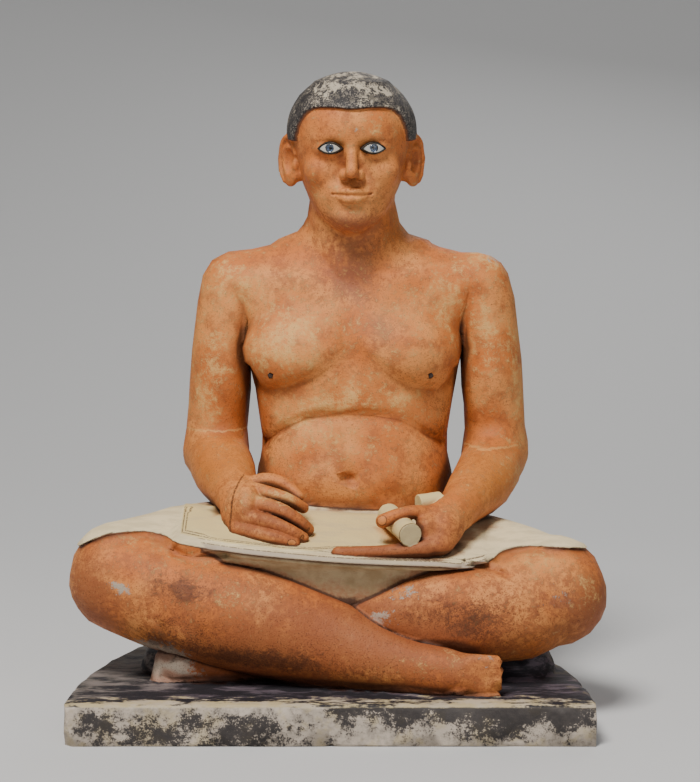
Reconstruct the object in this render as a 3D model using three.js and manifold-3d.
// A seated scribe: a man carved in limestone, cross-legged on a plinth, straight in front and round behind.
// He wears a short kilt, stretched between his thighs. A sheet of papyrus lies across it, the rest rolled up
// in his left hand. The eyes are inlaid in three pieces each, and two wooden pegs mark the breast.
// Millimetres. +X is the figure's left, +Y backwards, +Z up. The origin is on the underside, at the middle.
import * as THREE from "three";
import { mergeVertices } from "three/addons/utils/BufferGeometryUtils.js";
import Module from "manifold-3d";

const wasm = await Module();
wasm.setup();

// Driving sizes.
const FIGURE_HEIGHT = 503; // from the plinth's top to the crown
const PLINTH_WIDTH = 426;
const PLINTH_DEPTH = 350;
const PLINTH_THICKNESS = 34;
const PLINTH_OFFSET = -6; // the plinth's middle, left or right of the knees' middle
const FIGURE_SETBACK = 175; // from the plinth's front face back to the figure's own middle
const SEAT_DEPTH = 8; // how far the figure's stone runs down into the plinth
const EYE_LENGTH = 22; // over the metal rim
const EYE_HEIGHT = 10.4;
const EYE_RIM = 1.2; // the metal seen round the white
const IRIS_DIAMETER = 7.2;
const CLOTH_THICKNESS = 2;
const BELT_HEIGHT = 7;
const SHEET_THICKNESS = 1.8;
const HAIR_THICKNESS = 4;
const PEG_DIAMETER = 5;
const PEG_LENGTH = 9;
const PEG_PROUD = 0.8; // how far a peg stands out of the breast
const INLAY_GAP = 0.3; // between an inlay and its seat

const FINE_STEP = 3.2; // the grid that the carved form is cut on
const STATUE_TRIANGLES = 7900; // what is left of that surface once it is thinned
const BLOCK = 5; // grid steps that are looked at together

// The figure is drawn at the height below, above the plinth's top, and scaled to FIGURE_HEIGHT.
const DRAWN_HEIGHT = 503;
const SCALE = FIGURE_HEIGHT / DRAWN_HEIGHT;
const HEAD_HEIGHT = 130;
const HEAD_X = 11.5;
const CHIN_Z = DRAWN_HEIGHT - HEAD_HEIGHT;
const FACE_Y = -9; // the brow's plane
const BREAST_X = [-58, 79];
const BREAST_Z = 244;
const EYE_SPREAD = 18.5; // from the middle of the face to the middle of an eye
const EYE_LEVEL = 64.5; // over the chin
const EYE_TURN = 13; // degrees that an eye looks outwards, with the curve of the face
const EAR_MIDDLE = [53.5, 48, 54.5];
const EAR_TURN = 36; // degrees that an ear's plate stands out from the head

// Fields: functions of a point that are below zero inside the stone

const EDGE_SOFTNESS = 2; // half the width over which a layer's edge rises
const FAR = 30; // beyond this a form's exact distance no longer matters

function smoothMin(a, b, k) {
  const h = Math.max(k - Math.abs(a - b), 0) / k;
  return Math.min(a, b) - (h * h * k) / 4;
}

// The forms run together over a width of k.
function blend(k, ...forms) {
  return (x, y, z) => {
    let d = forms[0](x, y, z);
    for (let i = 1; i < forms.length; i++) d = smoothMin(d, forms[i](x, y, z), k);
    return d;
  };
}

// Two forms that meet in an incised line of some width and depth, near their surface.
function seam(width, depth, first, second, k = () => 1, share = () => 1) {
  return (x, y, z) => {
    const a = first(x, y, z);
    const b = second(x, y, z);
    const line = Math.abs(a) < 8 ? depth * share(z) * Math.exp(-(((a - b) / width) ** 2)) : 0;
    return smoothMin(a, b, k(z)) + line;
  };
}

// The tool is taken out of the form, with its rim rounded over k.
function carve(k, form, tool) {
  return (x, y, z) => -smoothMin(-form(x, y, z), tool(x, y, z), k);
}

function smoothStep(from, to, t) {
  const s = Math.min(1, Math.max(0, (t - from) / (to - from)));
  return s * s * (3 - 2 * s);
}

// A layer of some thickness laid on a form where edge(x, y, z) is below zero.
function layer(form, thickness, edge) {
  return (x, y, z) => {
    const d = form(x, y, z);
    if (Math.abs(d) > thickness + 12) return d;
    return d - thickness * smoothStep(EDGE_SOFTNESS, -EDGE_SOFTNESS, edge(x, y, z));
  };
}

// Leaves a form alone where the point is far outside the ball round it.
function within(centre, radius, form) {
  return (x, y, z) => {
    const far = Math.sqrt((x - centre[0]) ** 2 + (y - centre[1]) ** 2 + (z - centre[2]) ** 2) - radius;
    return far > FAR ? far : form(x, y, z);
  };
}

// A round limb swept smoothly through a row of balls, each [x, y, z, radius].
function limb(...balls) {
  const at = curve(balls.map((ball, i) => [i, ...ball]));
  const count = (balls.length - 1) * (balls.length > 2 ? 3 : 1);
  const rowAt = (t) => [1, 2, 3, 4].map((column) => at(t, column));
  const rows = Array.from({ length: count + 1 }, (_, i) => rowAt((i / count) * (balls.length - 1)));
  const centre = [0, 1, 2].map((i) => rows.reduce((sum, row) => sum + row[i], 0) / rows.length);
  const radius = Math.max(...rows.map((row) => Math.hypot(...centre.map((c, i) => row[i] - c)) + row[3]));
  const bars = rows.slice(1).map((b, i) => {
    const a = rows[i];
    const u = [b[0] - a[0], b[1] - a[1], b[2] - a[2]];
    const squared = u[0] * u[0] + u[1] * u[1] + u[2] * u[2];
    return [...a, ...u, b[3], squared];
  });
  return within(centre, radius, (x, y, z) => {
    let d = Infinity;
    for (const bar of bars) d = Math.min(d, coneDistance(bar, x, y, z));
    return d;
  });
}

// The distance to the hull of two balls: the first is a, at u from it is the second.
function coneDistance([ax, ay, az, ra, ux, uy, uz, rb, squared], x, y, z) {
  const px = x - ax;
  const py = y - ay;
  const pz = z - az;
  const taper = ra - rb;
  const along = px * ux + py * uy + pz * uz;
  const beyond = along - squared;
  const across = squared * (squared * (px * px + py * py + pz * pz) - along * along);
  const slant = squared - taper * taper;
  const k = Math.sign(taper) * taper * taper * across;
  if (Math.sign(beyond) * slant * beyond * beyond * squared > k)
    return Math.sqrt(Math.max(0, across) + beyond * beyond * squared) / squared - rb;
  if (Math.sign(along) * slant * along * along * squared < k)
    return Math.sqrt(Math.max(0, across) + along * along * squared) / squared - ra;
  return (Math.sqrt(Math.max(0, (across * slant) / squared)) + along * taper) / squared - ra;
}

// An ellipsoid, which may be turned about an upright axis.
function ball(centre, radii, turnDegrees = 0) {
  const reach = Math.max(...radii);
  const c = Math.cos((turnDegrees * Math.PI) / 180);
  const s = Math.sin((turnDegrees * Math.PI) / 180);
  return (x, y, z) => {
    const px = x - centre[0];
    const py = y - centre[1];
    const pz = z - centre[2];
    const far = Math.sqrt(px * px + py * py + pz * pz) - reach;
    if (far > FAR) return far;
    const ex = (c * px + s * py) / radii[0];
    const ey = (c * py - s * px) / radii[1];
    const ez = pz / radii[2];
    const k0 = Math.sqrt(ex * ex + ey * ey + ez * ez);
    const gx = ex / radii[0];
    const gy = ey / radii[1];
    const gz = ez / radii[2];
    const k1 = Math.sqrt(gx * gx + gy * gy + gz * gz);
    return k1 < 1e-9 ? -Math.min(...radii) : (k0 * (k0 - 1)) / k1;
  };
}

// A smooth curve through rows of [position, value, value, ...].
function curve(rows) {
  const last = rows.length - 1;
  return (t, column) => {
    if (t <= rows[0][0]) return rows[0][column];
    if (t >= rows[last][0]) return rows[last][column];
    let i = 0;
    while (t > rows[i + 1][0]) i++;
    const [a, b] = [rows[i], rows[i + 1]];
    const width = b[0] - a[0];
    const slope = (from, to) => (rows[to][column] - rows[from][column]) / (rows[to][0] - rows[from][0]);
    const ma = i === 0 ? slope(0, 1) : slope(i - 1, i + 1);
    const mb = i + 1 === last ? slope(last - 1, last) : slope(i, i + 2);
    const s = (t - a[0]) / width;
    const s2 = s * s;
    const s3 = s2 * s;
    return (
      (2 * s3 - 3 * s2 + 1) * a[column] +
      (s3 - 2 * s2 + s) * width * ma +
      (3 * s2 - 2 * s3) * b[column] +
      (s3 - s2) * width * mb
    );
  };
}

// A trunk of flattened round sections: rows of [z, half width, front y, back y]. Its middle leans by xAt(y).
function trunk(rows, xAt, roundness) {
  const at = curve(rows);
  const low = rows[0][0];
  const high = rows[rows.length - 1][0];
  return (x, y, z) => {
    const outside = Math.max(low - z, z - high);
    if (outside > FAR) return outside;
    const width = at(z, 1);
    const front = at(z, 2);
    const back = at(z, 3);
    const depth = (back - front) / 2;
    const px = Math.abs(x - xAt(y)) / width;
    const py = Math.abs(y - (front + back) / 2) / depth;
    const r = Math.pow(Math.pow(px, roundness) + Math.pow(py, roundness), 1 / roundness);
    if (r < 0.2) return Math.max(outside, -0.8 * Math.min(width, depth));
    const gx = Math.pow(px / r, roundness - 1) / width;
    const gy = Math.pow(py / r, roundness - 1) / depth;
    return Math.max(outside, (r - 1) / Math.sqrt(gx * gx + gy * gy));
  };
}

// The distance to a line through points, in as many dimensions as they have.
function distanceToLine(points) {
  return (...p) => {
    let best = Infinity;
    for (let i = 1; i < points.length; i++) {
      const a = points[i - 1];
      const b = points[i];
      let along = 0;
      let squared = 0;
      for (let n = 0; n < a.length; n++) {
        along += (p[n] - a[n]) * (b[n] - a[n]);
        squared += (b[n] - a[n]) * (b[n] - a[n]);
      }
      const t = Math.min(1, Math.max(0, along / squared));
      let d = 0;
      for (let n = 0; n < a.length; n++) {
        const e = p[n] - a[n] - t * (b[n] - a[n]);
        d += e * e;
      }
      best = Math.min(best, d);
    }
    return Math.sqrt(best);
  };
}

// A smooth line through points, as more points.
function smoothLine(points) {
  const at = curve(points.map((point, i) => [i, ...point]));
  const count = 3 * (points.length - 1);
  return Array.from({ length: count + 1 }, (_, i) => points[0].map((_, c) => at(i / 3, c + 1)));
}

// A soft furrow seen from the front or, with back, from behind: a line through [x, z] points cut to a depth.
// A depth below zero raises a ridge.
function furrow(points, width, depth, back = false) {
  const away = distanceToLine(smoothLine(points));
  const [lowX, highX] = [Math.min(...points.map((p) => p[0])), Math.max(...points.map((p) => p[0]))];
  const [lowZ, highZ] = [Math.min(...points.map((p) => p[1])), Math.max(...points.map((p) => p[1]))];
  const margin = 3 * width;
  return (x, y, z) => {
    if (back ? y < 60 : y > 45) return 0;
    if (x < lowX - margin || x > highX + margin || z < lowZ - margin || z > highZ + margin) return 0;
    const d = away(x, z) / width;
    return depth * Math.exp(-d * d);
  };
}

const furrowed = (form, furrows) => (x, y, z) => {
  let d = form(x, y, z);
  if (d < 12 && d > -12) for (const f of furrows) d += f(x, y, z);
  return d;
};

const mirrored = (middle, form) => (x, y, z) => form(Math.abs(x - middle), y, z);

// The figure

// The breast faces a little to his right, so the trunk's middle leans with depth.
const trunkX = (y) => 10.7 + 0.07 * y;

function torso() {
  const body = trunk(
    [
      [60, 98, -2, 138],
      [90, 95, -2, 130],
      [120, 90, -8, 116],
      [140, 87, -14, 110],
      [156, 85, -15, 107],
      [170, 82, -10, 105],
      [184, 81, -6, 105],
      [200, 83, -2, 107],
      [216, 85.5, 0, 110],
      [234, 89, 0, 113],
      [260, 95, -1, 116],
      [290, 99, 6, 116],
      [316, 97, 20, 111],
      [336, 82, 32, 104],
      [350, 58, 42, 97],
    ],
    trunkX,
    2.35,
  );
  const half = (form) => mirrored(trunkX(0), form);
  const breast = half(ball([46, 28, 261], [47, 35.5, 35]));
  const belly = ball([11, 44, 150], [72, 61, 42]);
  const blade = half(ball([48, 94, 258], [32, 24, 42]));
  const girdle = blend(
    16,
    half(limb([26, 70, 331, 28], [74, 62, 326, 25], [102, 58, 318, 25])),
    half(limb([30, 46, 318, 26], [84, 52, 312, 25])),
    half(limb([10, 66, 350, 31], [42, 71, 335, 25])),
  );
  const mass = blend(10, blend(13, body, breast), belly, blade);
  const whole = blend(16, mass, girdle);
  const bellyFold = [
    [-66, 180],
    [-58, 188],
    [-48, 195],
    [-33, 204],
    [-9, 209],
    [14, 210],
    [40, 208],
    [57, 203],
    [74, 192],
    [88, 183],
  ];
  const furrows = [
    // under the breast
    furrow([[-77, 248], [-66, 231], [-50, 231], [-33, 237], [-20, 243], [-6, 253], [5, 261]], 4.6, 3.4),
    furrow([[100, 246], [92, 230], [78, 229], [61, 234], [46, 243], [29, 255], [18, 261]], 4.6, 3.4),
    // the fold over the belly, and the flesh that hangs over it
    furrow(bellyFold, 4.2, 4),
    furrow(bellyFold.slice(2, -1).map(([x, z]) => [x, z + 12]), 7, -1.6),
    // between the breasts and down to the navel
    furrow([[10, 300], [10.5, 262], [10.5, 228]], 9, 2),
    furrow([[9.5, 200], [9.1, 165]], 6, 1),
    // the collar bones
    furrow([[-6, 331], [-33, 335], [-60, 338], [-86, 342]], 3.2, 2),
    furrow([[30, 332], [57, 336], [88, 340], [114, 344]], 3.2, 2),
    // the spine
    furrow([[14, 130], [15, 200], [16, 320]], 9, 5, true),
  ];
  const navel = ball([9.1, -18.5, 157], [10.5, 9, 6]);
  const notch = ball([11, 20, 333], [7, 8, 6]);
  return furrowed(carve(4, carve(4.5, whole, navel), notch), furrows);
}

function neck() {
  const half = (form) => mirrored(12.5, form);
  return blend(
    10,
    limb([13, 66, 320, 40], [12, 54, 388, 37]),
    half(limb([16, 62, 376, 20], [30, 62, 340, 22])),
    half(limb([21, 36, 372, 8], [7, 27, 336, 6])),
  );
}

// Upper arm and forearm; side is -1 for his right arm and 1 for his left.
function arm(side, shoulder, elbow, middle, wrist) {
  const [sx, sy, sz] = shoulder;
  const [ex, ey, ez] = elbow;
  const upper = limb(
    [sx, sy, sz, 27],
    [sx + side * 9, sy, sz + (ez - sz) * 0.3, 27],
    [sx + side * 15, sy + (ey - sy) * 0.7, sz + (ez - sz) * 0.7, 26.5],
    [ex, ey, ez, 27.5],
  );
  const biceps = ball([sx + side * 11, sy - 5, sz + (ez - sz) * 0.5], [23, 26, 48]);
  const deltoid = ball([sx + side * 2.5, sy, sz - 20], [27, 28, 42]);
  const fore = limb([ex, ey - 2, ez - 2, 27], middle, [
    wrist[0] + (middle[0] - wrist[0]) * 0.4,
    wrist[1] + (middle[1] - wrist[1]) * 0.4,
    wrist[2] + (middle[2] - wrist[2]) * 0.4,
    20.5,
  ], wrist);
  return blend(9, upper, biceps, deltoid, fore);
}

// Both arms, with the fold inside each elbow.
function arms() {
  const right = arm(-1, [-91, 57, 318], [-108.5, 62, 172], [-99, 15, 159, 27], [-84, -47, 144, 17.5]);
  const left = arm(1, [122, 57, 318], [138.5, 62, 170], [126, 14, 152, 27], [97, -58, 134, 16]);
  return furrowed(blend(0.5, right, left), [
    furrow([[-130, 197], [-112, 190], [-86, 188]], 3, 1.3),
    furrow([[98, 177], [124, 180], [152, 176]], 3, 1.3),
  ]);
}

// The hand that held the pen: the back of it is turned up and forwards, and finger and thumb meet.
function writingHand() {
  const fingers = [
    limb([-82, -78, 124, 8], [-56, -95, 121.5, 6], [-45, -97, 119, 5.3], [-36, -96, 116, 4.7]),
    limb([-77, -76, 134, 7.8], [-54, -90, 131.5, 6.5], [-38, -93, 125, 5.7], [-29, -89, 119, 5]),
    limb([-77, -66, 144.5, 8], [-50, -81, 141.5, 6.7], [-34, -83, 133, 5.9], [-25, -77, 124, 5.2]),
    limb([-75, -55, 154, 7.6], [-52, -68, 151, 6.2], [-38, -68, 146, 5.4], [-29, -63, 140, 4.7]),
  ];
  const thumb = limb([-74, -38, 152, 10], [-62, -38, 158, 7.6], [-46, -46, 157, 6.4], [-33, -56, 148, 4.8]);
  const palm = blend(
    8,
    ball([-76, -63, 138], [13, 22, 22]),
    ball([-55, -70, 126], [24, 19, 14]),
    limb([-83, -48, 146, 15], [-79, -60, 141, 16]),
    limb([-84, -58, 133, 13], [-83, -70, 125, 9]),
  );
  return within([-60, -70, 136], 60, blend(2, blend(0.9, ...fingers), blend(2, palm, thumb)));
}

// The hand that holds the roll: it lies palm up, its fingers under the sheet's edge and the thumb on top.
function scrollHand() {
  const thumb = limb(
    [88, -64, 136, 10],
    [75, -76, 137.5, 7],
    [62, -84.5, 140, 5.8],
    [48, -88, 137.4, 5.8],
    [37, -88.5, 133, 5.8],
  );
  const palm = blend(
    8,
    ball([87, -76, 125], [17, 20, 17]),
    ball([79, -90, 114], [16, 14, 10]),
    ball([72, -86, 128], [8, 12, 10]),
    limb([97, -58, 134, 16], [88, -70, 130, 15]),
  );
  const fingers = [
    limb([72, -97, 112, 8], [42, -101, 109.8, 6], [18, -102.5, 109.6, 5.2], [0, -103, 109.6, 4.8]),
    limb([72, -88, 112, 8], [44, -92, 106, 6], [20, -94, 104, 4.6]),
  ];
  return within([50, -80, 122], 72, blend(2, blend(4, palm, thumb), ...fingers));
}

// The rest of the sheet, rolled up, and its loose end.
const roll = () =>
  within(
    [60, -76, 133],
    50,
    blend(1, cylinder([59.5, -106, 124.5], [42, -50, 132.5], 9.6), cylinder([67, -57, 142], [86, -50, 143.5], 8.4)),
  );

// A round bar with flat ends.
function cylinder(a, b, radius) {
  const u = new THREE.Vector3(b[0] - a[0], b[1] - a[1], b[2] - a[2]);
  const length = u.length();
  u.normalize();
  return (x, y, z) => {
    const px = x - a[0];
    const py = y - a[1];
    const pz = z - a[2];
    const along = px * u.x + py * u.y + pz * u.z;
    const out = Math.sqrt(Math.max(0, px * px + py * py + pz * pz - along * along)) - radius;
    const end = Math.abs(along - length / 2) - length / 2;
    return Math.min(Math.max(out, end), 0) + Math.sqrt(Math.max(out, 0) ** 2 + Math.max(end, 0) ** 2);
  };
}

// The thighs, and the pelvis that they come out of.
function thighs() {
  const right = limb(
    [-30, 66, 62, 55],
    [-84, 22, 76, 53],
    [-134, -24, 83, 48],
    [-166, -50, 82, 45.5],
    [-181, -61, 81.5, 44.5],
  );
  const left = limb(
    [60, 66, 58, 55],
    [108, 22, 69, 51],
    [144, -24, 72, 46.5],
    [168, -50, 70, 44],
    [181, -61, 70, 44],
  );
  // the flesh that calf and thigh press out between them
  const flesh = [ball([-118, -76, 95], [36, 30, 22]), ball([128, -76, 82], [36, 31, 20])];
  const pelvis = trunk(
    [
      [-20, 104, -20, 146],
      [20, 110, -20, 150],
      [50, 108, -20, 148],
      [80, 100, -20, 138],
      [104, 92, -20, 125],
      [124, 84, -10, 112],
    ],
    () => 15,
    2.3,
  );
  return blend(16, right, left, pelvis, ...flesh);
}

// The right leg lies in front: the shin, and the foot with its toes side by side on the plinth.
function rightLeg() {
  const shin = limb(
    [-182, -65, 80, 43.5],
    [-124, -80, 62, 46],
    [-72, -86, 51, 46],
    [-26, -92, 38, 40.5],
    [8, -102, 29, 34],
    [42, -116, 21.5, 25.5],
    [78, -130, 17, 18.5],
  );
  const instep = blend(
    6,
    limb([70, -128, 19, 20], [108, -137, 16, 15.5]),
    ball([84, -134, 16], [22, 16, 19]),
    ball([106, -138, 15], [14, 12, 16]),
  );
  const toes = [
    [28.4, 130, 5.2],
    [20.8, 131.5, 4.4],
    [13.8, 131.2, 4.1],
    [7.3, 130.5, 3.9],
    [1.4, 129, 3.7],
  ].map(([z, x, r]) => limb([106, -143, z, r + 0.6], [x - 10, -146, z, r + 0.3], [x - r / 2, -146.5, z, r]));
  return blend(2, shin, blend(3, instep, blend(0.9, ...toes)));
}

// The left leg passes behind it, and its foot, broken off short, comes out under the right knee.
function leftLeg() {
  const shin = limb(
    [182, -65, 68, 43.5],
    [130, -84, 59, 39.5],
    [85, -90, 60, 36],
    [44, -86, 48, 32],
    [0, -78, 35, 29],
    [-62, -78, 19, 22],
  );
  const calf = limb([150, -84, 54, 37], [104, -99, 44, 27], [58, -103, 36, 18]);
  const stub = blend(
    4,
    limb([-56, -78, 17, 19], [-128, -89, 14, 18.5]),
    limb([-141, -88, 27, 9], [-144, -89, 3, 12]),
  );
  return blend(2, blend(10, shin, calf), stub);
}

// The cloth is stretched from thigh to thigh; this is the height of it, until it meets the belly.
const lapTop = (x, y) => {
  const dip = 0.9 * (Math.max(-131 - x, 0) + Math.max(x - 120, 0));
  return smoothMin(105.6 + 0.245 * (y + 110) - 0.075 * (x + 6), 130.5, 8) - dip;
};
// The line that its front edge follows on the figure, seen from the front.
const hemZ = curve([
  [-232, 104],
  [-216, 109],
  [-203, 116],
  [-188, 121.5],
  [-160, 122],
  [-130, 115.5],
  [-85, 110],
  [-40, 106],
  [0, 103],
  [40, 101],
  [80, 99],
  [113, 96.5],
  [140, 106],
  [170, 110],
  [200, 108],
  [216, 103],
  [232, 96],
]);

// The cloth between the thighs, with a rounded hem in front and a hollow panel under that.
function lap() {
  const hem = limb(
    [-128, -93, 114, 2.6],
    [-85, -103, 109, 3.2],
    [-40, -108, 105, 3.4],
    [0, -110, 102, 3.4],
    [40, -110, 100, 3.4],
    [80, -107, 98.5, 3.2],
    [112, -99, 96.5, 2.6],
  );
  const frontY = curve([
    [-140, -86],
    [-128, -92],
    [-85, -102],
    [-40, -107],
    [0, -109],
    [40, -109],
    [80, -106],
    [112, -98],
    [125, -90],
  ]);
  const sheet = (x, y, z) => {
    const top = z - lapTop(x, y);
    const sunk = 7 * smoothStep(104, 92, z) + 0.12 * Math.max(0, 90 - z);
    const front = frontY(x, 1) + sunk - y;
    const right = -(x + 30) * 0.66 + (y - 66) * 0.75;
    const left = (x - 60) * 0.745 + (y - 66) * 0.667;
    return Math.max(top * 0.97, front * 0.9, right, left, Math.abs(x) - 150, 30 - z);
  };
  return blend(2, sheet, within([0, -100, 105], 130, hem));
}

// The kilt is a thin layer on hips and thighs, with an edge before the knees and a belt round the waist.
function kilt(body) {
  const sideEdge = (y, z) => (-48 + (116 - z) * 0.65 - y) * 0.85;
  const cloth = layer(body, CLOTH_THICKNESS, (x, y, z) =>
    Math.max(Math.min(hemZ(x, 1) - z, sideEdge(y, z)), z - beltTop(y)),
  );
  return layer(cloth, 1.2, (x, y, z) => Math.abs(z + BELT_HEIGHT / 2 - beltTop(y)) - BELT_HEIGHT / 2);
}

const beltTop = (y) => 138 - 0.2 * (y + 14);

// The sheet of papyrus on the lap.
function papyrus(ground) {
  const outline = [
    [-131, -22],
    [-130, -90],
    [-100, -100],
    [-45, -105],
    [-22, -104.5],
    [10, -95],
    [62, -88],
    [62, -22],
  ];
  const away = distanceToLine([...outline, outline[0]]);
  return layer(ground, SHEET_THICKNESS, (x, y, z) => {
    if (z < hemZ(x, 1) + 1) return 10;
    let inside = false;
    for (let i = 0, j = outline.length - 1; i < outline.length; j = i++) {
      const [ax, ay] = outline[i];
      const [bx, by] = outline[j];
      if (ay > y !== by > y && x < ((bx - ax) * (y - ay)) / (by - ay) + ax) inside = !inside;
    }
    return away(x, y) * (inside ? -1 : 1);
  });
}

// Stone left standing under the thighs and behind the feet.
function filling() {
  return blend(
    24,
    ball([8, 26, 0], [146, 94, 46]),
    limb([60, 10, 0, 40], [146, -54, -4, 38]),
    limb([-60, 10, 0, 40], [-130, -46, -4, 38]),
  );
}

// The head, in its own frame: x from the middle, y back from the brow, z up from the chin

function head() {
  const half = (form) => mirrored(0, form);
  const face = trunk(
    [
      [-8, 10, 24, 60],
      [-2, 18, 12, 64],
      [6, 26, 7, 70],
      [16, 33, 5.5, 74],
      [30, 39.5, 5.5, 78],
      [44, 43, 6.5, 82],
      [56, 44, 6.5, 84],
      [68, 44, 4, 86],
      [80, 43.5, 1.5, 86],
      [94, 41, 4, 84],
      [104, 34, 12, 78],
      [112, 22, 26, 68],
    ],
    () => 0,
    2.35,
  );
  const cranium = ball([0, 53, 79], [52, 54, 47]);
  const nape = ball([0, 64, 50], [42, 40, 44]);
  const skull = blend(12, cranium, nape, face);
  const cheek = half(ball([26, 17, 45], [14, 10.5, 11]));
  const chin = ball([0, 10, 7], [14, 9, 9]);
  const muzzle = ball([0, 13, 26], [20, 13, 13]);
  const mass = blend(9, skull, cheek, chin, muzzle);
  const socket = half(ball([18.5, -1.5, 64], [13, 7.5, 7]));
  const brow = half(limb([6, 5, 73, 3], [17, 4.5, 75.5, 3], [30, 10.5, 73, 2.6]));
  const nose = blend(
    4,
    limb([0, 6.5, 73, 4.8], [0, 2, 61, 4.6], [0, -4.5, 50, 5], [0, -7.2, 45, 5.4]),
    half(ball([6.6, 1.2, 42.4], [4.4, 6.2, 4.6])),
  );
  const lid = half(ball([18.5, 13, 64], [13, 12, 9]));
  const lips = half(
    blend(
      1,
      limb([1.5, -1.9, 28.6, 3.1], [7, -0.2, 28.2, 2.9], [15, 5.8, 26, 1.3]),
      limb([0, -1.5, 22, 3.7], [6, -0.2, 22.3, 3.4], [14, 5.8, 25.2, 1.3]),
    ),
  );
  const features = blend(3, blend(3, blend(4, carve(6, mass, socket), brow), nose), lid);
  const mouthed = blend(2, features, lips);
  const nostril = half(ball([3.6, -3.2, 38.4], [2, 2.8, 2]));
  const line = half(limb([0, -4.8, 25.3, 1], [8, -2.7, 25.5, 0.9], [16.5, 4.9, 26.2, 0.9]));
  const philtrum = limb([0, -4.6, 36, 1.6], [0, -4.4, 31, 1.6]);
  const bare = carve(1.5, carve(2, carve(1.2, mouthed, line), nostril), philtrum);
  return blend(1, hair(bare), half(ear()));
}

// A point of the ear's plate: a direction from its middle (90 is up, 0 is backwards), how far out as a share
// of the plate's half width or height, and how far the point stands off the plate.
function onEar(degrees, share, proud) {
  const t = (degrees * Math.PI) / 180;
  const turn = (EAR_TURN * Math.PI) / 180;
  const out = 13 * share * Math.cos(t);
  return [
    EAR_MIDDLE[0] + Math.sin(turn) * out + Math.cos(turn) * proud,
    EAR_MIDDLE[1] + Math.cos(turn) * out - Math.sin(turn) * proud,
    EAR_MIDDLE[2] + 21.5 * share * Math.sin(t),
  ];
}

// An ear with its rim, bowl, trench and inner fold.
function ear() {
  const bead = (share, proud, radius, ...degrees) =>
    limb(...degrees.map((t) => [...onEar(t, share, proud), radius]));
  const shell = ball(EAR_MIDDLE, [3.2, 13, 21.5], -EAR_TURN);
  const lobe = ball(onEar(-100, 0.7, 0), [3.6, 7.5, 8], -EAR_TURN);
  const root = limb([45, 48, 66, 6], [44, 44, 42, 6]);
  const bowl = ball(onEar(190, 0.22, 4.2), [5.5, 6.6, 11], -EAR_TURN);
  const trench = bead(0.7, 3.4, 1.7, 130, 90, 50, 10, -30);
  const hollow = carve(1.5, carve(1.5, blend(4, shell, lobe, root), bowl), trench);
  const rim = bead(0.92, 1.4, 2.5, 165, 130, 90, 50, 10, -30, -65);
  const fold = bead(0.5, 1.4, 2.1, 100, 50, 0, -50);
  return within([53, 46, 52], 30, blend(1.2, hollow, rim, fold, ball(onEar(195, 0.8, 1), [3, 3, 5])));
}

// A close cap of hair, straight over the brow, square at the temples and cut round the ears.
function hair(skull) {
  return layer(skull, HAIR_THICKNESS, (x, y, z) => {
    const brow = 99 - 1.5 * Math.exp(-((x / 12) ** 2)) - z;
    const temple = Math.max(13 + 0.45 * (99 - z) - y, 71 - z);
    const behindEar = Math.max(62 - y, 40 + 0.1 * (y - 62) - z);
    return Math.min(smoothMin(brow, temple, 7), behindEar);
  });
}

function figure() {
  const headForm = head();
  const placedHead = (x, y, z) => {
    const far = Math.max(CHIN_Z - 10 - z, Math.abs(x - HEAD_X) - 70, y - 110);
    return far > FAR ? far : headForm(x - HEAD_X, y - FACE_Y, z - CHIN_Z);
  };
  // a slit parts arms and trunk up to the armpits, and they run together at the shoulders
  const raised = (z) => smoothStep(296, 330, z);
  const jacket = seam(3.2, 2.4, torso(), arms(), (z) => 1.2 + 7.8 * raised(z), (z) => 1 - raised(z));
  const upper = blend(5, blend(9, jacket, neck()), placedHead);
  const dressed = papyrus(kilt(blend(5, thighs(), lap())));
  const legs = seam(3, 1.8, rightLeg(), leftLeg());
  const lower = furrowed(seam(2.4, 1, dressed, legs), [
    furrow([[-136, 108.5], [-124, 105], [-108, 105.5], [-92, 107]], 3, 3.4),
    furrow([[104, 100], [120, 95.6], [140, 91]], 3, 3.4),
  ]);
  const hands = blend(0.8, writingHand(), blend(1, scrollHand(), roll()));
  return blend(1.5, blend(4, upper, hands), lower, filling());
}

// From field to faces

// Kuhn's six tetrahedra of a cube, as corner numbers whose bits say +x, +y and +z.
const TETRAHEDRA = [
  [0, 1, 3, 7],
  [0, 3, 2, 7],
  [0, 2, 6, 7],
  [0, 6, 4, 7],
  [0, 4, 5, 7],
  [0, 5, 1, 7],
];

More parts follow.
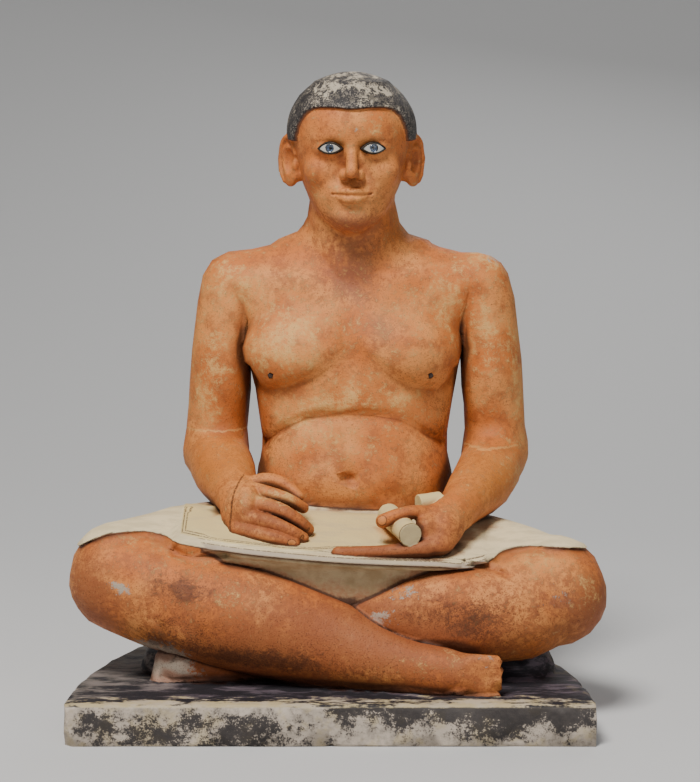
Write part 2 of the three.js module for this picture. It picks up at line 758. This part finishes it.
// The surface where a field is zero, cut on a grid of tetrahedra, which always closes.
function polygonize(field, low, high, step) {
  const [nx, ny, nz] = [0, 1, 2].map((i) => Math.ceil((high[i] - low[i]) / step) + 1);
  const values = new Float32Array(nx * ny * nz);
  const offset = (corner) => (corner & 1) + ((corner >> 1) & 1) * nx + ((corner >> 2) & 1) * nx * ny;
  const sample = (i, j, k) => field(low[0] + i * step, low[1] + j * step, low[2] + k * step);
  // A block of the grid that lies wholly in the stone or in the air is told by its middle.
  const reach = 2 * Math.sqrt(3) * (BLOCK / 2) * step;
  for (let k0 = 0; k0 < nz; k0 += BLOCK)
    for (let j0 = 0; j0 < ny; j0 += BLOCK)
      for (let i0 = 0; i0 < nx; i0 += BLOCK) {
        const middle = sample(i0 + BLOCK / 2, j0 + BLOCK / 2, k0 + BLOCK / 2);
        const plain = Math.abs(middle) > reach;
        for (let k = k0; k < Math.min(k0 + BLOCK, nz); k++)
          for (let j = j0; j < Math.min(j0 + BLOCK, ny); j++)
            for (let i = i0; i < Math.min(i0 + BLOCK, nx); i++)
              values[i + j * nx + k * nx * ny] = plain ? middle : sample(i, j, k);
      }
  const place = (n) => {
    const [i, j, k] = [n % nx, Math.floor(n / nx) % ny, Math.floor(n / (nx * ny))];
    return [low[0] + i * step, low[1] + j * step, low[2] + k * step];
  };
  const vertices = [];
  const faces = [];
  const known = new Map();
  const crossing = (a, b) => {
    const [from, to] = a < b ? [a, b] : [b, a];
    const key = from * 8 + [0, 1, 2, 3, 4, 5, 6, 7].find((c) => offset(c) === to - from);
    if (known.has(key)) return known.get(key);
    const t = Math.min(0.95, Math.max(0.05, values[from] / (values[from] - values[to])));
    const [p, q] = [place(from), place(to)];
    vertices.push([0, 1, 2].map((i) => p[i] + t * (q[i] - p[i])));
    known.set(key, vertices.length - 1);
    return vertices.length - 1;
  };
  const addFace = (a, b, c, inside, outside) => {
    const [p, q, r] = [vertices[a], vertices[b], vertices[c]];
    const u = [q[0] - p[0], q[1] - p[1], q[2] - p[2]];
    const v = [r[0] - p[0], r[1] - p[1], r[2] - p[2]];
    const [s, t] = [place(inside), place(outside)];
    const facing =
      (u[1] * v[2] - u[2] * v[1]) * (t[0] - s[0]) +
      (u[2] * v[0] - u[0] * v[2]) * (t[1] - s[1]) +
      (u[0] * v[1] - u[1] * v[0]) * (t[2] - s[2]);
    faces.push(facing > 0 ? [a, b, c] : [a, c, b]);
  };
  for (let k = 0; k < nz - 1; k++)
    for (let j = 0; j < ny - 1; j++)
      for (let i = 0; i < nx - 1; i++) {
        const n = i + j * nx + k * nx * ny;
        let below = 0;
        for (let c = 0; c < 8; c++) if (values[n + offset(c)] < 0) below++;
        if (below === 0 || below === 8) continue;
        for (const tetrahedron of TETRAHEDRA) {
          const corners = tetrahedron.map((c) => n + offset(c));
          const inside = corners.filter((c) => values[c] < 0);
          const outside = corners.filter((c) => values[c] >= 0);
          if (!inside.length || !outside.length) continue;
          if (inside.length === 2) {
            const [a, b, c, d] = [
              crossing(inside[0], outside[0]),
              crossing(inside[0], outside[1]),
              crossing(inside[1], outside[1]),
              crossing(inside[1], outside[0]),
            ];
            addFace(a, b, c, inside[0], outside[0]);
            addFace(a, c, d, inside[0], outside[0]);
          } else {
            const [one, others] = inside.length === 1 ? [inside[0], outside] : [outside[0], inside];
            const corner = others.map((o) => crossing(one, o));
            addFace(...corner, inside[0], outside[0]);
          }
        }
      }
  return { vertices, faces };
}

// The shell with the most corners, which leaves out crumbs and sealed hollows.
function largestShell({ vertices, faces }) {
  const parent = vertices.map((_, i) => i);
  const find = (i) => {
    while (parent[i] !== i) i = parent[i] = parent[parent[i]];
    return i;
  };
  for (const [a, b, c] of faces) {
    parent[find(a)] = find(b);
    parent[find(b)] = find(c);
  }
  const size = new Map();
  vertices.forEach((_, i) => size.set(find(i), (size.get(find(i)) ?? 0) + 1));
  const largest = [...size].reduce((a, b) => (b[1] > a[1] ? b : a))[0];
  return { vertices, faces: faces.filter(([a]) => find(a) === largest) };
}

// A heap of item numbers, the cheapest on top.
class Heap {
  costs = [];
  items = [];
  push(cost, item) {
    const { costs, items } = this;
    let i = items.length;
    costs.push(cost);
    items.push(item);
    while (i > 0) {
      const up = (i - 1) >> 1;
      if (costs[up] <= cost) break;
      costs[i] = costs[up];
      items[i] = items[up];
      i = up;
    }
    costs[i] = cost;
    items[i] = item;
  }
  pop() {
    const { costs, items } = this;
    const top = items[0];
    const cost = costs.pop();
    const item = items.pop();
    const size = items.length;
    if (!size) return top;
    let i = 0;
    for (let child = 1; child < size; child = 2 * i + 1) {
      if (child + 1 < size && costs[child + 1] < costs[child]) child++;
      if (costs[child] >= cost) break;
      costs[i] = costs[child];
      items[i] = items[child];
      i = child;
    }
    costs[i] = cost;
    items[i] = item;
    return top;
  }
}

// A closed surface that is thinned edge by edge: the edge whose loss moves the surface least goes first.
// Each corner keeps the sum of the squared distances to the planes that it stood on, as ten numbers.
class Thinning {
  constructor({ vertices, faces }, weightAt) {
    this.place = Float64Array.from(vertices.flat());
    this.corners = Int32Array.from(faces.flat());
    this.around = vertices.map(() => []);
    this.planes = new Float64Array(10 * vertices.length);
    this.changes = new Int32Array(vertices.length);
    this.mark = new Int32Array(vertices.length);
    this.marker = 0;
    this.sum = new Float64Array(10);
    this.target = new Float64Array(3);
    this.edges = [];
    this.heap = new Heap();
    faces.forEach((face, f) => this.addPlane(face, f, weightAt(vertices[face[0]])));
    for (const [a, b, c] of faces) for (const [v, w] of [[a, b], [b, c], [c, a]]) if (v < w) this.offer(v, w);
  }

  // Twice the face's area vector, with corner v moved to the target if it is given.
  normal(f, v, out) {
    const { place, corners, target } = this;
    const p = [];
    for (let i = 0; i < 3; i++) {
      const c = corners[3 * f + i];
      for (let n = 0; n < 3; n++) p.push(c === v ? target[n] : place[3 * c + n]);
    }
    const [ux, uy, uz] = [p[3] - p[0], p[4] - p[1], p[5] - p[2]];
    const [vx, vy, vz] = [p[6] - p[0], p[7] - p[1], p[8] - p[2]];
    const [wx, wy, wz] = [vx - ux, vy - uy, vz - uz];
    out[0] = uy * vz - uz * vy;
    out[1] = uz * vx - ux * vz;
    out[2] = ux * vy - uy * vx;
    out[3] = Math.max(ux * ux + uy * uy + uz * uz, vx * vx + vy * vy + vz * vz, wx * wx + wy * wy + wz * wz);
  }

  addPlane(face, f, weight) {
    const n = [0, 0, 0, 0];
    this.normal(f, -1, n);
    const length = Math.sqrt(n[0] * n[0] + n[1] * n[1] + n[2] * n[2]) || 1e-12;
    const [a, b, c] = [n[0] / length, n[1] / length, n[2] / length];
    const [x, y, z] = this.place.subarray(3 * face[0], 3 * face[0] + 3);
    const d = -(a * x + b * y + c * z);
    const terms = [a * a, a * b, a * c, a * d, b * b, b * c, b * d, c * c, c * d, d * d];
    for (const v of face) {
      this.around[v].push(f);
      for (let i = 0; i < 10; i++) this.planes[10 * v + i] += (terms[i] * length * weight) / 2;
    }
  }

  error(x, y, z) {
    const q = this.sum;
    const squares = q[0] * x * x + q[4] * y * y + q[7] * z * z;
    const products = q[1] * x * y + q[2] * x * z + q[5] * y * z;
    return squares + 2 * (products + q[3] * x + q[6] * y + q[8] * z) + q[9];
  }

  // Sets the target to the best place for edge a, b once it is one corner, and gives the cost.
  settle(a, b) {
    const { place, planes, sum, target } = this;
    for (let i = 0; i < 10; i++) sum[i] = planes[10 * a + i] + planes[10 * b + i];
    const [ax, ay, az] = [place[3 * a], place[3 * a + 1], place[3 * a + 2]];
    const [bx, by, bz] = [place[3 * b], place[3 * b + 1], place[3 * b + 2]];
    const [mx, my, mz] = [(ax + bx) / 2, (ay + by) / 2, (az + bz) / 2];
    const squared = (ax - bx) ** 2 + (ay - by) ** 2 + (az - bz) ** 2;
    let cost = Infinity;
    const attempt = (x, y, z) => {
      const e = this.error(x, y, z);
      if (e >= cost) return;
      cost = e;
      target[0] = x;
      target[1] = y;
      target[2] = z;
    };
    attempt(mx, my, mz);
    attempt(ax, ay, az);
    attempt(bx, by, bz);
    const [xx, xy, xz, x1, yy, yz, y1, zz, z1] = sum;
    const [c0, c1, c2] = [yy * zz - yz * yz, xz * yz - xy * zz, xy * yz - xz * yy];
    const determinant = xx * c0 + xy * c1 + xz * c2;
    if (determinant > 1e-3 * (xx + yy + zz) ** 3 / 27) {
      const x = -(c0 * x1 + c1 * y1 + c2 * z1) / determinant;
      const y = -(c1 * x1 + (xx * zz - xz * xz) * y1 + (xy * xz - xx * yz) * z1) / determinant;
      const z = -(c2 * x1 + (xy * xz - xx * yz) * y1 + (xx * yy - xy * xy) * z1) / determinant;
      if ((x - mx) ** 2 + (y - my) ** 2 + (z - mz) ** 2 < squared) attempt(x, y, z);
    }
    return Math.max(cost, 0) + 1e-4 * squared;
  }

  offer(a, b) {
    const cost = this.settle(a, b);
    this.heap.push(cost, this.edges.length / 4);
    this.edges.push(a, b, this.changes[a], this.changes[b]);
  }

  // Whether a face of v that doesn't have the corner w would fold over or become a sliver.
  spoils(v, w) {
    const before = [0, 0, 0, 0];
    const after = [0, 0, 0, 0];
    for (const f of this.around[v]) {
      const c = this.corners;
      if (c[3 * f] === w || c[3 * f + 1] === w || c[3 * f + 2] === w) continue;
      this.normal(f, -1, before);
      this.normal(f, v, after);
      const sizeBefore = Math.sqrt(before[0] ** 2 + before[1] ** 2 + before[2] ** 2);
      const sizeAfter = Math.sqrt(after[0] ** 2 + after[1] ** 2 + after[2] ** 2);
      const along = before[0] * after[0] + before[1] * after[1] + before[2] * after[2];
      if (sizeAfter / after[3] < Math.min(0.1, (0.7 * sizeBefore) / before[3])) return true;
      if (along < 0.2 * sizeBefore * sizeAfter) return true;
    }
    return false;
  }

  // How many corners are next to both a and b.
  shared(a, b) {
    const { around, corners, mark } = this;
    const seen = ++this.marker;
    for (const f of around[a]) for (let i = 0; i < 3; i++) mark[corners[3 * f + i]] = seen;
    mark[a] = mark[b] = 0;
    let count = 0;
    for (const f of around[b])
      for (let i = 0; i < 3; i++) {
        const v = corners[3 * f + i];
        if (mark[v] === seen) count++;
        if (mark[v] === seen) mark[v] = 0;
      }
    return count;
  }

  // Makes corners a and b one, at the target, and gives the number of faces that go.
  merge(a, b) {
    const { around, corners, place, planes, target, mark } = this;
    let gone = 0;
    for (const f of around[b]) {
      const own = corners.subarray(3 * f, 3 * f + 3);
      if (own.includes(a)) {
        for (const v of own) if (v !== b) around[v].splice(around[v].indexOf(f), 1);
        own.fill(-1);
        gone++;
      } else {
        own[own.indexOf(b)] = a;
        around[a].push(f);
      }
    }
    around[b] = null;
    for (let n = 0; n < 3; n++) place[3 * a + n] = target[n];
    for (let i = 0; i < 10; i++) planes[10 * a + i] += planes[10 * b + i];
    this.changes[a]++;
    const seen = ++this.marker;
    mark[a] = seen;
    for (const f of around[a])
      for (let i = 0; i < 3; i++) {
        const v = corners[3 * f + i];
        if (mark[v] !== seen) this.offer(a, v);
        mark[v] = seen;
      }
    return gone;
  }

  run(count, wanted) {
    const { around, changes, edges, heap } = this;
    while (count > wanted && heap.items.length) {
      const e = 4 * heap.pop();
      const [a, b] = [edges[e], edges[e + 1]];
      if (!around[a] || !around[b] || changes[a] !== edges[e + 2] || changes[b] !== edges[e + 3]) continue;
      if (this.shared(a, b) !== 2) continue;
      this.settle(a, b);
      if (!this.spoils(a, b) && !this.spoils(b, a)) count -= this.merge(a, b);
    }
  }

  result() {
    const vertices = this.around.map((_, v) => Array.from(this.place.subarray(3 * v, 3 * v + 3)));
    const faces = [];
    for (let i = 0; i < this.corners.length; i += 3)
      if (this.corners[i] >= 0) faces.push(Array.from(this.corners.subarray(i, i + 3)));
    return { vertices, faces };
  }
}

function thin(surface, wanted, weightAt) {
  const thinning = new Thinning(surface, weightAt);
  thinning.run(surface.faces.length, wanted);
  return thinning.result();
}

function toGeometry({ vertices, faces }) {
  const geometry = new THREE.BufferGeometry();
  geometry.setAttribute("position", new THREE.Float32BufferAttribute(vertices.flat(), 3));
  geometry.setIndex(faces.flat());
  return geometry;
}

function toSolid(geometry) {
  const bare = geometry.clone();
  bare.deleteAttribute("normal");
  bare.deleteAttribute("uv");
  const merged = mergeVertices(bare, 1e-4);
  return new wasm.Manifold(
    new wasm.Mesh({
      numProp: 3,
      vertProperties: merged.attributes.position.array,
      triVerts: new Uint32Array(merged.index.array),
    }),
  );
}

function fromSolid(solid) {
  const mesh = solid.getMesh();
  const count = mesh.vertProperties.length / mesh.numProp;
  const positions = new Float32Array(count * 3);
  for (let i = 0; i < count; i++) {
    const start = i * mesh.numProp;
    positions.set(mesh.vertProperties.subarray(start, start + 3), i * 3);
  }
  const geometry = new THREE.BufferGeometry();
  geometry.setAttribute("position", new THREE.BufferAttribute(positions, 3));
  geometry.setIndex(new THREE.BufferAttribute(mesh.triVerts, 1));
  return geometry;
}

// The pieces

// A point of the figure's own frame, in the statue's.
const placed = (x, y, z) => [x * SCALE, y * SCALE + figureY, z * SCALE + PLINTH_THICKNESS];
const figureY = FIGURE_SETBACK - PLINTH_DEPTH / 2;

// Straight in front and half an ellipse behind.
function plinthGeometry() {
  const half = PLINTH_WIDTH / 2;
  const outline = new THREE.Shape();
  outline.moveTo(-half, -PLINTH_DEPTH / 2);
  outline.lineTo(half, -PLINTH_DEPTH / 2);
  outline.absellipse(0, -PLINTH_DEPTH / 2, half, PLINTH_DEPTH, 0, Math.PI, false, 0);
  const geometry = new THREE.ExtrudeGeometry(outline, {
    depth: PLINTH_THICKNESS,
    bevelEnabled: false,
    curveSegments: 40,
  });
  geometry.translate(PLINTH_OFFSET, 0, 0);
  return geometry;
}

function carvedFigure(form) {
  const field = (x, y, z) => {
    const fz = (z - PLINTH_THICKNESS) / SCALE;
    return Math.max(form(x / SCALE, (y - figureY) / SCALE, fz) * SCALE, PLINTH_THICKNESS - SEAT_DEPTH - z);
  };
  const low = placed(-236, -172, 0);
  const high = placed(238, 172, DRAWN_HEIGHT + 8);
  low[2] = PLINTH_THICKNESS - SEAT_DEPTH - FINE_STEP;
  const fine = largestShell(polygonize(field, low, high, FINE_STEP));
  const isFine = ([x, y, z]) => {
    const inFace = z > PLINTH_THICKNESS + CHIN_Z * SCALE && y < figureY + 60 * SCALE;
    const high = z > PLINTH_THICKNESS + 100 * SCALE;
    const inHands = high && Math.abs(x) < 95 * SCALE && y < figureY - 45 * SCALE;
    return inFace ? 10 : inHands ? 5 : 1;
  };
  return toGeometry(thin(fine, STATUE_TRIANGLES, isFine));
}

const colours = {
  limestone: { color: "#b5703f", roughness: 0.75 },
  metal: { color: "#2b2f2c", roughness: 0.45, metalness: 0.8 },
  white: { color: "#cfcdc4", roughness: 0.4 },
  crystal: { color: "#3f5a86", roughness: 0.05 },
  wood: { color: "#3a2a20", roughness: 0.7 },
};

function piece(name, geometry, colour) {
  const mesh = new THREE.Mesh(geometry, new THREE.MeshStandardMaterial({ metalness: 0, ...colours[colour] }));
  mesh.name = name;
  return mesh;
}

// The inlays

// Where a line along y, at x and z of the figure's own frame, first meets the stone.
function frontOf(form, x, z, from, to) {
  let y = from;
  while (y < to && form(x, y, z) > 0) y += 0.1;
  return y;
}

// The outline of an eye: two arcs between its corners, the upper one higher.
function almond(length, height) {
  const shape = new THREE.Shape();
  const arc = (rise, from, to) => {
    for (let i = 1; i <= 10; i++) {
      const x = from + ((to - from) * i) / 10;
      shape.lineTo(x, rise * (1 - (2 * x / length) ** 2));
    }
  };
  shape.moveTo(-length / 2, 0);
  arc(-0.44 * height, -length / 2, length / 2);
  arc(0.56 * height, length / 2, -length / 2);
  return shape;
}

// An almond slab that is smaller by inset all round, from z = back to z = front.
function almondSolid(inset, back, front) {
  const shape = almond(EYE_LENGTH - 2.6 * inset, EYE_HEIGHT - 2 * inset);
  const depth = front - back;
  const geometry = new THREE.ExtrudeGeometry(shape, { depth, bevelEnabled: false, curveSegments: 1 });
  geometry.translate(0, 0, back);
  return toSolid(geometry);
}

// A round body about z with a domed front, from z = back; the dome's radius is given.
function domedSolid(radius, back, front, domeRadius, sides = 20) {
  const points = [new THREE.Vector2(0, back), new THREE.Vector2(radius, back)];
  for (let i = 0; i <= 3; i++) {
    const r = radius * (1 - i / 3);
    points.push(new THREE.Vector2(r, front - domeRadius + Math.sqrt(domeRadius ** 2 - r * r)));
  }
  const geometry = new THREE.LatheGeometry(points, sides);
  geometry.rotateX(Math.PI / 2);
  return toSolid(geometry);
}

// The four solids of one eye, looking along +z: the seat cut in the stone, the rim, the white and the crystal.
function eyeSolids() {
  const depth = 7;
  const seat = almondSolid(-INLAY_GAP, -depth - INLAY_GAP, 12);
  const inner = EYE_RIM + INLAY_GAP;
  const rim = almondSolid(0, -depth, 0.5).subtract(almondSolid(EYE_RIM, -depth + 1, 5));
  const dome = domedSolid(16, -20, 1.3, 30);
  const middle = [0, 0.06 * (EYE_HEIGHT - 2 * EYE_RIM), 0];
  const hole = domedSolid(IRIS_DIAMETER / 2 + INLAY_GAP, -3.5 - INLAY_GAP, 9, 60).translate(middle);
  const white = almondSolid(inner, -depth + 1 + INLAY_GAP, 4).intersect(dome).subtract(hole);
  const crystal = domedSolid(IRIS_DIAMETER / 2, -3.5, 1.9, 9).translate(middle);
  return { seat, rim, white, crystal };
}

// Moves a solid that looks along +z to a point of the statue, looking forwards and turned outwards.
function facing(solid, [x, y, z], turnDegrees) {
  const matrix = new THREE.Matrix4()
    .makeTranslation(x, y, z)
    .multiply(new THREE.Matrix4().makeRotationZ((turnDegrees * Math.PI) / 180))
    .multiply(new THREE.Matrix4().makeRotationX(Math.PI / 2));
  return solid.transform(matrix.elements);
}

const statue = new THREE.Group();
const form = figure();
let stone = toSolid(carvedFigure(form)).add(toSolid(plinthGeometry()));
const inlays = [];

for (const [side, label] of [[-1, "right"], [1, "left"]]) {
  const x = HEAD_X + side * EYE_SPREAD;
  const z = CHIN_Z + EYE_LEVEL;
  const y = frontOf(form, x, z, FACE_Y - 20, FACE_Y + 30);
  const eye = eyeSolids();
  const at = placed(x, y, z);
  for (const solid of Object.keys(eye)) eye[solid] = facing(eye[solid], at, side * EYE_TURN);
  stone = stone.subtract(eye.seat);
  inlays.push(piece(`eye_rim_${label}`, fromSolid(eye.rim), "metal"));
  inlays.push(piece(`eye_white_${label}`, fromSolid(eye.white), "white"));
  inlays.push(piece(`eye_crystal_${label}`, fromSolid(eye.crystal), "crystal"));
}

for (const [index, label] of ["right", "left"].entries()) {
  const y = frontOf(form, BREAST_X[index], BREAST_Z, -60, 60);
  const at = placed(BREAST_X[index], y, BREAST_Z);
  const hole = domedSolid(PEG_DIAMETER / 2 + INLAY_GAP, -PEG_LENGTH - INLAY_GAP, 20, 60, 12);
  const peg = domedSolid(PEG_DIAMETER / 2, -PEG_LENGTH, PEG_PROUD, 4, 12);
  stone = stone.subtract(facing(hole, at, 0));
  inlays.push(piece(`nipple_peg_${label}`, fromSolid(facing(peg, at, 0)), "wood"));
}

statue.add(piece("statue", fromSolid(stone), "limestone"), ...inlays);

export default statue;
